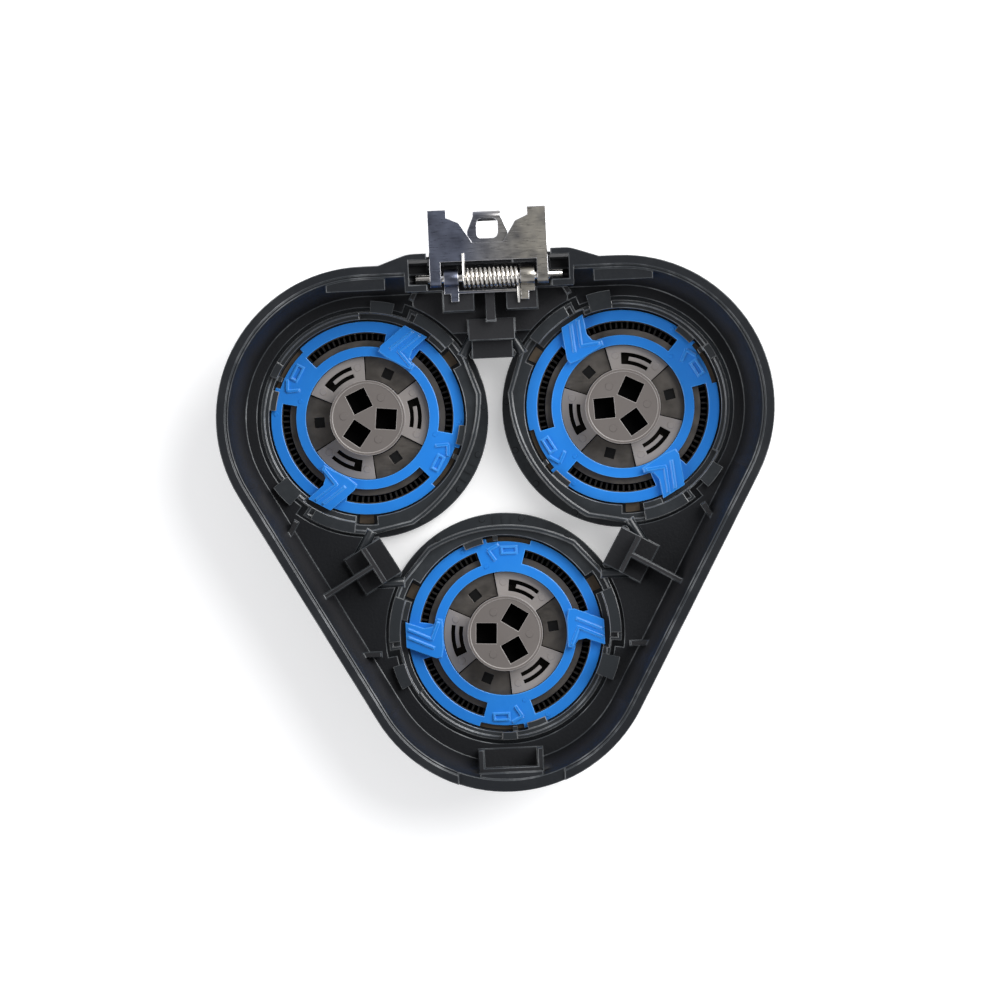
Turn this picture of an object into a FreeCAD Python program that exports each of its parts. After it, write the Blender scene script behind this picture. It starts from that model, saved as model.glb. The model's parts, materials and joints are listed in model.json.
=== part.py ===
import FreeCAD, Part
import math
import os

# Rotary shaver head with three floating shaving units and a sprung flip hinge.
# It lies on its shaving faces: +Z points out of the open side, +Y points to the hinge.
# Sizes are in millimetres. Every unit is drawn once, round its own centre, with its
# own +Y pointing to the middle of the head.

# Layout of the head
unit_turns = {"front": 0.0, "right": 120.0, "left": 240.0}
flange_spacing = 1.58
front_stretch = 0.8

# Carrier, the tilting frame of one unit
flange_low_z = 0.5
flange_thick = 1.0
flange_ledge = 1.6
frame_rim = 0.9
frame_high_z = 5.3
frame_wall = 0.4
frame_shelf_z = 4.5
frame_gap = 0.4
bulge_rise = 1.1
bulge_gap = 0.3
bulge_from = -6.0
bulge_to = 30.0
brow_inset = 3.7
brow_drop = 1.9
brow_rise = 0.2
bar_width = 1.3
bar_from = -2.0
bar_to = 21.0
bar_high_z = 5.75
stop_angle = -20.0
stop_half_angle = 6.0
stop_reach = 0.8
stop_gap = 0.06
stop_thick = 0.9
far_lug_half_angle = 4.0
far_lug_high_z = 5.9
claw_from = 101.0
claw_to = 113.0
claw_depth = 0.55
claw_thick = 0.6
tooth_angle = 93.5
tooth_half_angle = 1.5

# Pivot of the carrier on the tongues
pivot_drop = 2.0
pivot_z = 5.1
pivot_r = 0.55
pivot_root = 2.0
pivot_reach = 1.3
pivot_clear = 0.05

# Shell, as margins round each unit's opening and heights above the shaving faces
face_z = 4.2
face_thick = 1.2
floor_ledge = 1.3
rim_margin = 3.2
rim_z = 13.0
rim_width = 1.0
rim_step = 0.35
rim_step_depth = 0.35
skirt_inset = 0.8
skirt_z = 7.0
sole_margin = 1.4
sole_round = 1.3
centre_margin = 6.05
centre_round = 5.7

# Tongues between two units, which hold the carriers' pivots
boss_half_width = 2.3
boss_length = 4.7
boss_low_z = 3.7
boss_high_z = 6.5
web_thick = 0.5
web_from = 2.2
web_high_z = 9.2
web_stem_gap = 2.0
side_rib_from = 0.3
side_rib_y = -1.7
side_rib_length = 2.6
side_rib_high_z = 8.0

# Guard cap, the slotted metal cup that meets the skin
blade_room = 0.8
cap_wall = 0.4
cap_face = 0.35
cap_high_z = 2.6
cap_flange_width = 0.85
cap_flange_thick = 0.4
cap_gap = 0.15
cap_edge_bevel = 0.35
dish_margin = 0.8
cap_dish_rise = 0.45
slot_lead = 0.8
slot_width = 0.3
slot_high_z = 1.5
slot_count = 30
cap_lug_angle = 27.0
cap_lug_half_angle = 4.0
cap_lug_reach = 1.05
lug_room = 2.0

# Centre piece of the cap, whose spigot centres the cutter
insert_low_z = 0.1
insert_thick = 0.32
spigot_r = 1.5
spigot_high_z = 2.1
spigot_clear = 0.05

# Cutter: blade ring and plastic coupling
blade_gap = 0.08
blade_length = 1.6
blade_thick = 0.3
blade_lean = 14.0
blade_count = 15
plate_low_z = 1.75
plate_thick = 0.25
plate_lap = 0.05
plate_rim = 0.1
pad_half_angle = 32.0
pad_gap = 0.08
pad_rise = 0.45
square_hole = 1.15
square_hole_gap = 1.2
hook_lead = 9.0
hook_half_angle = 17.5
hook_gap = 0.55
hook_margin = 0.2
hook_arm_width = 0.45
hook_arm_angle = 26.0
base_low_z = 1.15
base_ledge = 2.05
base_gap = 0.75
hub_r = 4.2
hub_high_z = 5.7
hub_lip = 0.3
hub_lip_depth = 0.12
socket_inner_r = 0.95
socket_wall = 0.95
socket_width = 2.3
socket_floor = 0.25
socket_count = 3
spin_phases = {"front": 57.0, "right": 63.0, "left": 114.0}

# Retaining ring. Outlines on it are measured outwards from its inner edge.
ring_lap = 0.05
ring_width = 3.9
ring_gap = 0.05
ring_thick = 0.8
ring_bore_gap = 0.2
ring_band = 1.1
ring_rim = 1.2
ring_slots = [(13.0, 74.0), (107.0, 170.0), (195.0, 253.0), (288.0, 355.0)]
recess_from = 72.0
recess_to = 99.0
recess_depth = 0.5
tab_rise = 1.05
tab_outline = [(0.1, 1.3), (0.3, 2.35), (0.9, 2.45), (4.2, 1.1), (4.2, -1.75), (2.1, -0.95), (1.2, -1.1)]
tab_outline += [(0.6, -1.95), (0.1, -1.85)]
ridge_rise = 0.2
ridge_width = 0.3
ridge_lines = [(1.1, 1.3, 3.95, 0.0), (1.35, 0.3, 3.95, -0.9), (1.35, 0.4, 0.5, -1.6)]
arrow_rise = 0.25
arrow_width = 0.3
arrow_tip = (-1.5, 2.45)
arrow_arms = [(-0.35, 3.05), (-0.75, 1.3)]
arrow_bar = (-0.1, 1.75, 1.95, 2.85)

# Hinge on the +Y side: distances in front of (+ before) or behind the pin's axis
hump_foot = 3.6
hump_rise = 1.15
hump_round = 4.0
hump_inset = 0.4
pin_setback = 1.75
pin_z = 11.3
pin_r = 0.5
pin_bearing = 1.3
pin_clear = 0.04
sheet = 0.45
recess_gap = 0.3
recess_front = 1.35
recess_low_z = 9.7
stop_wall_back = 1.45
cradle_end_gap = 0.7
cradle_depth = 0.6
cradle_low_z = 10.0
cradle_wall = 0.5
seat_half_outer = 5.25
seat_half_inner = 1.8
seat_front = 3.7
centre_rib_half = 0.5
centre_rib_front = 4.9
step_half_width = 2.6
step_front = 7.0
step_high_z = 8.0
shelf_high_z = 6.9
shelf_half_width = 8.6
shelf_front = 6.1

# Hinge plate
plate_half_width = 6.6
plate_reach = 7.6
plate_leg_width = 1.25
window_reach = 1.8
notch_half_width = 1.7
notch_reach = 3.8
shoulder_half_width = 3.15
shoulder_reach = 6.1
hook_width = 2.1
hook_corner_reach = 6.7
hook_lip = 1.0

# Latch tongue under the plate
latch_half_width = 2.25
latch_tip_half_width = 1.55
latch_from = 2.6
latch_reach = 7.3
latch_window_half = 1.15
latch_window_from = 4.3
latch_window_to = 6.5
latch_window_round = 0.6
latch_curl_r = 0.55

# Bracket and torsion spring
bracket_side_gap = 0.3
bracket_leg_width = 1.6
bracket_front = 1.75
bracket_bar_width = 0.3
bracket_foot = 0.9
leg_turn = 0.25
spring_pitch = 0.49
spring_side_gap = 0.65
wire_r = 0.19
coil_r = 1.03
wire_sides = 8
turn_steps = 16
plate_leg_reach = 2.7
anchor_front = 2.9
leg_stub = 0.25
rest_gap = 0.02

# Latch place at the front of the rim, as distances behind the front wall
land_half_width = 5.9
land_depth = 0.4
latch_block_half = 3.5
latch_block_depth = 2.2
latch_block_high_z = 12.4
pocket_half_width = 3.0
pocket_rib = 0.55
pocket_depth = 4.8
pocket_high_z = 11.0
pocket_floor_z = 6.6
side_land_inner_x = 11.6
side_land_outer_x = 18.2
side_land_depth = 2.75
side_land_high_z = 12.4
side_land_low_z = 9.5

# Worked out from the sizes above: radii of one unit, from the hub outwards
socket_outer_r = hub_r - socket_wall
base_r = hub_r + base_ledge
hook_inner_r = hub_r + hook_gap
hook_outer_r = base_r - hook_margin
square_hole_r = hub_r + square_hole_gap
blade_inner_r = base_r + base_gap
blade_outer_r = blade_inner_r + blade_length
plate_inner_r = blade_inner_r - plate_lap
plate_outer_r = blade_outer_r + plate_rim
slot_inner_r = blade_inner_r - slot_lead
cap_dish_r = slot_inner_r - dish_margin
insert_r = cap_dish_r - cap_face - spigot_clear
cap_r = plate_outer_r + blade_room + cap_wall
cap_flange_r = cap_r + cap_flange_width
cap_lug_r = cap_flange_r + cap_lug_reach
ring_outer_r = cap_flange_r + ring_lap
ring_inner_r = ring_outer_r - ring_width
ring_slot_inner_r = ring_inner_r + ring_band
ring_slot_outer_r = ring_outer_r - ring_rim
ring_bore_r = ring_outer_r + ring_bore_gap
frame_r = ring_bore_r + frame_rim
flange_r = frame_r + flange_ledge

# Units and carriers
unit_circle = (2 * flange_r + flange_spacing) / math.sqrt(3.0)
side_reach = unit_circle / 2
bulge_r = frame_r + bulge_rise
bar_r = bulge_r - bar_width
brow_x = frame_r - brow_inset
brow_y = frame_r - brow_drop
brow_top = frame_r + brow_rise
open_r = frame_r + frame_gap
wide_open_r = bulge_r + bulge_gap
stop_r = open_r + stop_reach
pivot_y = side_reach - pivot_drop
pivot_root_x = bulge_r - pivot_root
pivot_tip_x = bulge_r + pivot_reach

# Shell and tongues
face_top = face_z + face_thick
foot_r = open_r + floor_ledge
rim_r = foot_r + rim_margin
skirt_r = rim_r - skirt_inset
side_rib_x = foot_r + side_rib_from
sole_r = foot_r + sole_margin
centre_reach = side_reach + centre_margin
centre_round_r = centre_reach + centre_round
boss_end = centre_reach + boss_length
web_distance = centre_reach + web_from
back_wall_y = side_reach + rim_r
web_stem_end = back_wall_y - web_stem_gap
front_reach = unit_circle + rim_r + front_stretch

# Cap, ring and cutter
cap_seat_z = cap_high_z - cap_flange_thick
ring_low_z = cap_high_z + ring_gap
ring_high_z = ring_low_z + ring_thick
plate_top_z = plate_low_z + plate_thick
pad_high_z = plate_top_z + pad_rise
socket_floor_z = spigot_high_z + spigot_clear + socket_floor

# Hinge
pin_y = back_wall_y - pin_setback
recess_half_width = plate_half_width + recess_gap
pin_half_length = recess_half_width + pin_bearing
cradle_half_width = pin_half_length + cradle_end_gap
hinge_block_half_width = cradle_half_width + cradle_wall
hump_half_width = hinge_block_half_width - hump_inset
hump_foot_half_width = hump_half_width + hump_foot
recess_front_y = pin_y - recess_front
stop_wall_y = pin_y + stop_wall_back
seat_front_y = pin_y - seat_front
centre_rib_front_y = pin_y - centre_rib_front
step_front_y = pin_y - step_front
shelf_front_y = pin_y - shelf_front
plate_leg_inner_x = plate_half_width - plate_leg_width
hook_half_width = plate_half_width - hook_width
bracket_outer_x = plate_leg_inner_x - bracket_side_gap
bracket_inner_x = bracket_outer_x - bracket_leg_width
bracket_bar_y = pin_y - bracket_front
anchor_y = pin_y - anchor_front
spring_start_x = spring_side_gap - bracket_inner_x
spring_room = bracket_inner_x - wire_r - rest_gap - spring_start_x
spring_turns = math.floor(spring_room / spring_pitch - leg_turn) + leg_turn
knuckle_r = pin_r + pin_clear + sheet
plate_under_z = pin_z + knuckle_r - sheet
plate_over_z = pin_z + knuckle_r
bracket_under_z = pin_z - knuckle_r
stop_wall_z = plate_under_z - stop_gap
clip_room = 0.1
hinge_reach = pin_y + plate_reach
head_y = (front_reach - hinge_reach) / 2.0

# Front latch and side lands
latch_block_y = latch_block_depth - front_reach
pocket_inner_y = pocket_depth - front_reach
side_land_y = back_wall_y - side_land_depth


def up(x, y, z):
    return FreeCAD.Vector(x, y, z)


def disc(radius, low, high):
    return Part.makeCylinder(radius, high - low, up(0, 0, low))


def tube(inner, outer, low, high):
    return disc(outer, low, high).cut(disc(inner, low, high))


def sector(inner, outer, start, end, low, high):
    wedge = Part.makeCylinder(outer, high - low, up(0, 0, low), up(0, 0, 1), end - start)
    wedge.rotate(up(0, 0, 0), up(0, 0, 1), start)
    return wedge.cut(disc(inner, low - 1, high + 1))


def block(x0, x1, y0, y1, z0, z1):
    return Part.makeBox(x1 - x0, y1 - y0, z1 - z0, up(x0, y0, z0))


def mirrored_blocks(x0, x1, y0, y1, z0, z1):
    return [block(x0, x1, y0, y1, z0, z1), block(-x1, -x0, y0, y1, z0, z1)]


def plate_of(points, low, high):
    corners = [up(x, y, low) for x, y in points]
    wire = Part.makePolygon(corners + [corners[0]])
    return Part.Face(wire).extrude(up(0, 0, high - low))


def stroke(x0, y0, x1, y1, width, low, high):
    length = math.hypot(x1 - x0, y1 - y0)
    side_x = -(y1 - y0) / length * width / 2
    side_y = (x1 - x0) / length * width / 2
    outline = [(x0 + side_x, y0 + side_y), (x0 - side_x, y0 - side_y)]
    outline += [(x1 - side_x, y1 - side_y), (x1 + side_x, y1 + side_y)]
    return plate_of(outline, low, high)


def turned(shape, degrees):
    copy = shape.copy()
    copy.rotate(up(0, 0, 0), up(0, 0, 1), degrees)
    return copy


def mirrored(shape):
    return shape.mirror(up(0, 0, 0), up(1, 0, 0))


def pair(shape):
    return [shape, mirrored(shape)]


def joined(shape, others):
    return shape.fuse(others).removeSplitter()


def at_unit(shape, turn):
    copy = shape.copy()
    copy.translate(up(0, -unit_circle, 0))
    return turned(copy, turn)


def at_all_units(shape):
    return [at_unit(shape, turn) for turn in unit_turns.values()]


def corner_centres():
    """Centres of the shell's three round corners, anticlockwise from the front."""
    centres = []
    for angle, stretch in ((-90.0, front_stretch), (30.0, 0.0), (150.0, 0.0)):
        turn = math.radians(angle)
        centres.append(up(math.cos(turn), math.sin(turn), 0) * (unit_circle + stretch))
    return centres


def corner_outline(radius, z):
    """Closed outline round all three units: arcs, joined by the lines that touch them."""
    centres = corner_centres()
    arcs = []
    for index, centre in enumerate(centres):
        arrive = centre - centres[index - 1]
        leave = centres[(index + 1) % len(centres)] - centre
        start = math.atan2(arrive.y, arrive.x) - math.pi / 2
        end = math.atan2(leave.y, leave.x) - math.pi / 2
        if end < start:
            end += 2 * math.pi
        points = []
        for angle in (start, (start + end) / 2, end):
            points.append(up(centre.x + radius * math.cos(angle), centre.y + radius * math.sin(angle), z))
        arcs.append(points)
    edges = []
    for index, points in enumerate(arcs):
        edges.append(Part.Arc(*points).toShape())
        edges.append(Part.makeLine(points[2], arcs[(index + 1) % len(arcs)][0]))
    return Part.Wire(edges)


def corner_body(levels):
    wires = [corner_outline(radius, z) for radius, z in levels]
    return Part.makeLoft(wires, True, True)


def hump_body():
    """Raised back of the rim that houses the hinge, fading into the wall below it."""
    wires = []
    for z, rise in ((rim_z, hump_rise), (skirt_z, skirt_r - rim_r)):
        back = back_wall_y + rise
        inner = back_wall_y - 4 * rim_width
        foot_y = back_wall_y + min(rise, 0.0) - 0.1
        outline = [(-hump_foot_half_width, inner), (-hump_foot_half_width, foot_y)]
        outline += [(-hump_half_width, back), (hump_half_width, back)]
        outline += [(hump_foot_half_width, foot_y), (hump_foot_half_width, inner)]
        corners = [up(x, y, z) for x, y in outline]
        wires.append(Part.makePolygon(corners + [corners[0]]))
    hump = Part.makeLoft(wires, True, True)
    upright = []
    for edge in hump.Edges:
        ends = [vertex.Point for vertex in edge.Vertexes]
        spans_height = abs(ends[0].z - ends[1].z) > 1
        at_corner = abs(abs(ends[0].x) - hump_half_width) < 0.01
        if spans_height and at_corner:
            upright.append(edge)
    return hump.makeFillet(hump_round, upright)


def cavity():
    step_z = rim_z - rim_step_depth
    inner_r = rim_r - rim_width - rim_step
    bowl = corner_body([(foot_r, face_top), (inner_r, step_z)])
    step = corner_body([(rim_r - rim_width, step_z), (rim_r - rim_width, rim_z + 1)])
    return bowl.fuse(step)


def unit_opening():
    low = face_z - 3
    high = boss_high_z + 3
    opening = disc(open_r, low, high)
    wide_from = bulge_from - 3.0
    wide_to = bulge_to + 10.0
    wide = sector(open_r - 1, wide_open_r, wide_from, wide_to, low, high)
    return opening.fuse(pair(wide))


def centre_opening():
    corners = []
    for angle in (-90.0, 30.0, 150.0):
        reach = 2 * centre_reach
        corners.append((reach * math.cos(math.radians(angle)), reach * math.sin(math.radians(angle))))
    triangle = plate_of(corners, 0, rim_z)
    return triangle.common(disc(centre_round_r, 0, rim_z))


def tongue():
    """Pivot boss and webs of one mid-side, drawn along +X."""
    boss = block(centre_reach, boss_end, -boss_half_width, boss_half_width, boss_low_z, boss_high_z)
    wall = block(web_distance - web_thick / 2, web_distance + web_thick / 2,
                 -boss_half_width, boss_half_width, face_z, web_high_z)
    stem = block(web_distance, web_stem_end, -web_thick / 2, web_thick / 2, face_z, web_high_z)
    return [boss, wall, stem]


def hinge_seats():
    back = back_wall_y - 0.2
    half = hinge_block_half_width
    parts = [block(-half, half, recess_front_y, back, face_z + 0.3, rim_z)]
    parts.append(block(-shelf_half_width, shelf_half_width, shelf_front_y, back, face_z + 0.3, shelf_high_z))
    seat_z = bracket_under_z - clip_room
    parts += mirrored_blocks(seat_half_inner, seat_half_outer, seat_front_y, recess_front_y + 1,
                             face_z + 0.3, seat_z)
    parts.append(block(-centre_rib_half, centre_rib_half, centre_rib_front_y, recess_front_y + 1,
                       face_z + 0.3, seat_z - 0.6))
    parts.append(block(-step_half_width, step_half_width, step_front_y, centre_rib_front_y + 0.3,
                       face_z + 0.3, step_high_z))
    boss = block(-boss_half_width, boss_half_width, centre_reach, shelf_front_y + 1, boss_low_z, boss_high_z)
    parts.append(boss)
    return parts


def hinge_cuts():
    far = back_wall_y + 3
    seat_z = bracket_under_z - clip_room
    half = recess_half_width
    cuts = [block(-half, half, recess_front_y - 0.6, stop_wall_y, seat_z, rim_z + 1)]
    coil_half = bracket_inner_x
    cuts.append(block(-coil_half, coil_half, recess_front_y - 0.1, stop_wall_y, recess_low_z, rim_z + 1))
    cuts.append(block(-half, half, stop_wall_y - 0.1, far, stop_wall_z, rim_z + 1))
    latch_half = latch_half_width + frame_gap
    latch_z = plate_under_z - sheet - 2 * clip_room
    cuts.append(block(-latch_half, latch_half, stop_wall_y - 0.1, far, latch_z, rim_z + 1))
    groove_y0 = pin_y - cradle_depth
    groove_y1 = pin_y + cradle_depth
    inner = half - 0.1
    cuts += mirrored_blocks(inner, cradle_half_width, groove_y0, groove_y1, pin_z, rim_z + 1)
    cuts += mirrored_blocks(inner, cradle_half_width, groove_y1, stop_wall_y + 0.75, cradle_low_z, rim_z + 1)
    groove = Part.makeCylinder(pin_r + pin_clear, 2 * cradle_half_width,
                               up(-cradle_half_width, pin_y, pin_z), up(1, 0, 0))
    cuts.append(groove)
    return cuts


def front_latch():
    back = -front_reach + rim_width
    outer_half = pocket_half_width + pocket_rib
    body = block(-outer_half, outer_half, back, pocket_inner_y, face_top - 0.4, pocket_high_z)
    lip = block(-latch_block_half, latch_block_half, back, latch_block_y, face_top - 0.4, latch_block_high_z)
    return [body, lip]


def front_cuts():
    pocket = block(-pocket_half_width, pocket_half_width, latch_block_y + pocket_rib,
                   pocket_inner_y + 1, pocket_floor_z, rim_z + 1)
    land = block(-land_half_width, land_half_width, -front_reach - 1, latch_block_y + rim_width,
                 rim_z - land_depth, rim_z + 1)
    return [pocket, land]


def head_shell():
    hull = corner_body([(sole_r, face_z), (skirt_r, skirt_z), (rim_r, rim_z)])
    sole = [edge for edge in hull.Edges if abs(edge.BoundBox.ZMax - face_z) < 0.01]
    hull = hull.makeFillet(sole_round, sole)
    hull = hull.fuse(hump_body())
    shell = hull.cut(cavity())
    added = []
    for turn in (210.0, 330.0):
        added += [turned(shape, turn) for shape in tongue()]
    added += hinge_seats()
    added += front_latch()
    side_lands = mirrored_blocks(side_land_inner_x, side_land_outer_x, side_land_y,
                                 back_wall_y - rim_width, side_land_low_z, side_land_high_z)
    added += side_lands
    rib = block(side_rib_x, side_rib_x + side_rib_length, side_rib_y - web_thick / 2,
                side_rib_y + web_thick / 2, face_z + 0.3, side_rib_high_z)
    for shape in pair(rib):
        added += at_all_units(shape)
    added = [shape.common(hull) for shape in added]
    shell = shell.fuse(added)
    cuts = at_all_units(unit_opening())
    cuts.append(centre_opening())
    pivot_bore = Part.makeCylinder(pivot_r + pivot_clear, pivot_tip_x + 0.3,
                                   up(0, pivot_y, pivot_z), up(1, 0, 0))
    for shape in pair(pivot_bore):
        cuts += at_all_units(shape)
    cuts += hinge_cuts()
    cuts += front_cuts()
    shell = shell.cut(cuts)
    solids = sorted(shell.Solids, key=lambda solid: solid.Volume)
    return solids[-1].removeSplitter()


def frame_outline(low, high, inset):
    """Upright body of the carrier: round, with two bulges at the pivots and a brow."""
    outer = bulge_r - inset
    body = disc(frame_r - inset, low, high)
    bulge = sector(1.0, outer, bulge_from + math.degrees(inset / bulge_r), bulge_to, low, high)
    corner = math.radians(bulge_to)
    shoulder = up(outer * math.cos(corner), outer * math.sin(corner), low)
    end = up(brow_x - inset / 2, brow_y - inset, low)
    top = up(0, brow_top - inset, low)
    edges = [Part.makeLine(up(0, 0, low), shoulder), Part.makeLine(shoulder, end)]
    edges.append(Part.Arc(end, top, up(-end.x, end.y, low)).toShape())
    edges.append(Part.makeLine(up(-end.x, end.y, low), up(-shoulder.x, shoulder.y, low)))
    edges.append(Part.makeLine(up(-shoulder.x, shoulder.y, low), up(0, 0, low)))
    brow = Part.Face(Part.Wire(edges)).extrude(up(0, 0, high - low))
    return body.fuse(pair(bulge) + [brow])


def carrier():
    flange = disc(flange_r, flange_low_z, flange_low_z + flange_thick)
    outline = frame_outline(flange_low_z, frame_high_z, 0)
    frame = outline.cut(frame_outline(frame_shelf_z, frame_high_z + 1, frame_wall))
    root_z = frame_shelf_z - 0.1
    root = block(pivot_root_x, bulge_r, pivot_y - pivot_r, pivot_y + pivot_r, root_z, frame_high_z)
    bar = sector(bar_r, bulge_r, bar_from, bar_to, root_z, bar_high_z)
    hook_z = face_top + stop_gap
    low_angle = stop_angle - stop_half_angle
    high_angle = stop_angle + stop_half_angle
    post = sector(ring_bore_r, frame_r, low_angle, high_angle, root_z, hook_z + stop_thick)
    hook = sector(ring_bore_r, stop_r, low_angle, high_angle, hook_z, hook_z + stop_thick)
    far_lug = sector(ring_bore_r, frame_r, 270 - far_lug_half_angle, 270 + far_lug_half_angle,
                     root_z, far_lug_high_z)
    pivot_start = up(pivot_root_x, pivot_y, pivot_z)
    pivot = Part.makeCylinder(pivot_r, pivot_tip_x - pivot_root_x, pivot_start, up(1, 0, 0))
    body = flange.fuse([frame, far_lug] + pair(root.common(outline)) + pair(bar) + pair(post) + pair(hook))
    cuts = [disc(cap_r + cap_gap, 0, cap_seat_z + 0.1), disc(ring_bore_r, cap_seat_z, rim_z)]
    tab_room = sector(ring_bore_r - 0.5, bar_r, bar_from - 8, bulge_to + 2, ring_high_z - 0.15, rim_z)
    cuts += [tab_room, turned(tab_room, 180)]
    notch_half = cap_lug_half_angle + lug_room
    notch = sector(ring_bore_r - 0.5, cap_lug_r + cap_gap, cap_lug_angle - notch_half,
                   cap_lug_angle + notch_half, cap_seat_z, rim_z)
    cuts += pair(notch)
    body = body.cut(cuts)
    claw_z = ring_high_z + clip_room
    claw_top = claw_z + claw_thick
    root_r = ring_bore_r + 0.3
    claw = sector(ring_outer_r - claw_depth, root_r, claw_from, claw_to, claw_z, claw_top)
    tooth_r = ring_outer_r - recess_depth + clip_room
    tooth = sector(tooth_r, root_r, tooth_angle - tooth_half_angle, tooth_angle + tooth_half_angle,
                   ring_low_z, claw_top)
    grips = [claw, turned(claw, 180), tooth, turned(tooth, 180)]
    return joined(body, grips + pair(pivot))


def guard_cap():
    flange_z = cap_seat_z
    dish_z = cap_dish_rise
    hole_r = spigot_r + spigot_clear
    inner_r = cap_r - cap_wall
    profile = [(hole_r, dish_z), (cap_dish_r - cap_face, dish_z), (cap_dish_r - cap_face, 0)]
    profile += [(cap_r - cap_edge_bevel, 0), (cap_r, cap_edge_bevel), (cap_r, flange_z)]
    profile += [(cap_flange_r, flange_z), (cap_flange_r, cap_high_z), (inner_r, cap_high_z)]
    profile += [(inner_r, cap_face), (cap_dish_r, cap_face), (cap_dish_r, dish_z + cap_face)]
    profile += [(hole_r, dish_z + cap_face)]
    corners = [up(r, 0, z) for r, z in profile]
    section = Part.Face(Part.makePolygon(corners + [corners[0]]))
    cap = section.revolve(up(0, 0, 0), up(0, 0, 1), 360)
    lug = sector(inner_r, cap_lug_r, cap_lug_angle - cap_lug_half_angle, cap_lug_angle + cap_lug_half_angle,
                 flange_z, cap_high_z)
    cap = cap.fuse(pair(lug))
    slot = block(slot_inner_r, cap_r + 0.01, -slot_width / 2, slot_width / 2, -1, slot_high_z)
    slots = [turned(slot, 360.0 * index / slot_count) for index in range(slot_count)]
    return cap.cut(slots).removeSplitter()


def cap_insert():
    plate = disc(insert_r, insert_low_z, insert_low_z + insert_thick)
    return joined(plate, [disc(spigot_r, insert_low_z, spigot_high_z)])


def blade_ring():
    plate = tube(plate_inner_r, plate_outer_r, plate_low_z, plate_top_z)
    lug_half = 60.0 - pad_half_angle - 1.0
    parts = []
    for index in range(socket_count):
        middle = hook_lead + 60.0 + 360.0 / socket_count * index
        lug = sector(hub_r + pad_gap, plate_inner_r + 0.2, -lug_half, lug_half, plate_low_z, plate_top_z)
        hole = block(square_hole_r - square_hole / 2, square_hole_r + square_hole / 2,
                     -square_hole / 2, square_hole / 2, plate_low_z - 1, plate_top_z + 1)
        parts.append(turned(lug.cut(hole), middle))
    length = blade_outer_r - blade_inner_r
    for index in range(blade_count):
        blade = Part.makeBox(length, blade_thick, plate_low_z - cap_face - blade_gap + 0.1,
                             up(blade_inner_r, -blade_thick / 2, cap_face + blade_gap))
        middle = up((blade_inner_r + blade_outer_r) / 2, 0, 0)
        blade.rotate(middle, up(0, 0, 1), blade_lean)
        parts.append(turned(blade, 360.0 * index / blade_count))
    outside = disc(plate_outer_r, 0, plate_top_z)
    return joined(plate, [shape.common(outside) for shape in parts])


def coupling():
    hub = disc(hub_r, base_low_z, hub_high_z)
    parts = [disc(base_r, base_low_z, plate_low_z)]
    cuts = [disc(spigot_r + spigot_clear, 0, spigot_high_z + spigot_clear)]
    cuts.append(disc(hub_r - hub_lip, hub_high_z - hub_lip_depth, hub_high_z + 1))
    top = hub_high_z + 1
    for index in range(socket_count):
        turn = 360.0 / socket_count * index
        pad_r = plate_inner_r - pad_gap
        pad = sector(hub_r - 0.2, pad_r, -pad_half_angle, pad_half_angle, plate_low_z, pad_high_z)
        slot = sector(hook_inner_r, hook_outer_r, -hook_half_angle, hook_half_angle, 0, top)
        arm_r = (hook_inner_r + hook_outer_r) / 2
        arm = sector(arm_r - hook_arm_width / 2, arm_r + hook_arm_width / 2, -hook_half_angle - 1,
                     hook_arm_angle - hook_half_angle, base_low_z, pad_high_z)
        parts.append(turned(pad, turn + hook_lead))
        cuts.append(turned(slot.cut(arm), turn + hook_lead))
        socket = block(socket_inner_r, socket_outer_r, -socket_width / 2, socket_width / 2,
                       socket_floor_z, top)
        cuts.append(turned(socket, turn))
    return hub.fuse(parts).cut(cuts).removeSplitter()


def finger_tab():
    low = ring_high_z - 0.1
    high = ring_high_z + tab_rise
    tab = plate_of([(ring_inner_r + out, side) for out, side in tab_outline], low, high)
    ridges = []
    for out0, side0, out1, side1 in ridge_lines:
        ridges.append(stroke(ring_inner_r + out0, side0, ring_inner_r + out1, side1, ridge_width,
                             high - 0.1, high + ridge_rise))
    return tab.fuse(ridges)


def turn_arrow():
    """Raised arrow that shows which way the ring turns: a chevron and a hollow bar."""
    low = ring_high_z - 0.1
    high = ring_high_z + arrow_rise
    parts = []
    for side, out in arrow_arms:
        parts.append(stroke(arrow_tip[0], ring_inner_r + arrow_tip[1], side, ring_inner_r + out,
                            arrow_width, low, high))
    x0, x1, out0, out1 = arrow_bar
    y0 = ring_inner_r + out0
    y1 = ring_inner_r + out1
    line = arrow_width * 0.7
    bar = block(x0, x1, y0, y1, low, high)
    parts.append(bar.cut(block(x0 + line, x1 - line, y0 + line, y1 - line, low - 1, high + 1)))
    return parts


def retaining_ring():
    body = tube(ring_inner_r, ring_outer_r, ring_low_z, ring_high_z)
    raised = [finger_tab()] + turn_arrow()
    body = body.fuse(raised + [turned(shape, 180) for shape in raised])
    cuts = []
    for start, end in ring_slots:
        cuts.append(sector(ring_slot_inner_r, ring_slot_outer_r, start, end, ring_low_z - 1, ring_high_z))
    recess = sector(ring_outer_r - recess_depth, ring_outer_r + 1, recess_from, recess_to,
                    ring_low_z - 1, ring_high_z + 1)
    cuts += [recess, turned(recess, 180)]
    return body.cut(cuts).removeSplitter()


def knuckle(x0, x1):
    outer = Part.makeCylinder(knuckle_r, x1 - x0, up(x0, pin_y, pin_z), up(1, 0, 0))
    return outer.cut(pin_hole())


def pin_hole():
    reach = pin_half_length + 1
    return Part.makeCylinder(pin_r + pin_clear, 2 * reach, up(-reach, pin_y, pin_z), up(1, 0, 0))


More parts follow.
